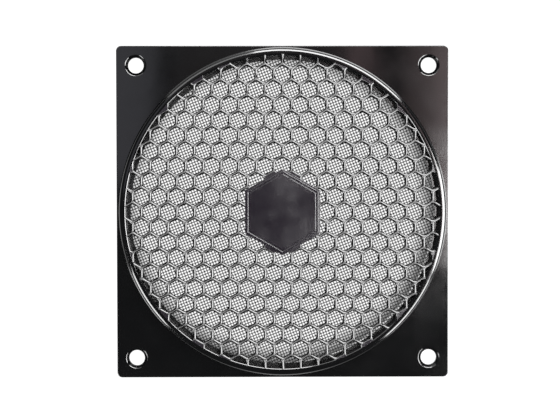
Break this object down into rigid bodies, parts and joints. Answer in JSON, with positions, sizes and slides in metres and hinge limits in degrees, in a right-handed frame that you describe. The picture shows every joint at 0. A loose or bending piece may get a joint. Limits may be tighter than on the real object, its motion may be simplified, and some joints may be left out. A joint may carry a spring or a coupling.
{
  "type": "honeycomb fan guard",
  "caption": "Square moulded guard for a cooling fan: a flat honeycomb grille in a raised round rim, with screw holes at the corners and a woven dust filter clipped into its back.",
  "frame": {"origin": "on the fan's axis, in the plane of the fan side of the flange", "axes": "+Z along the fan's axis, out of the front of the grille; X and Y along the sides of the square flange"},
  "size_m": [0.119, 0.119, 0.006],
  "materials": {
    "black_abs": "glossy moulded plastic",
    "black_ring": "satin moulded plastic",
    "black_nylon": "plain woven nylon monofilament"
  },
  "bodies": {
    "root": {"grille_frame": "black_abs", "filter_ring": "black_ring", "filter_mesh": "black_nylon"}
  },
  "joints": []
}
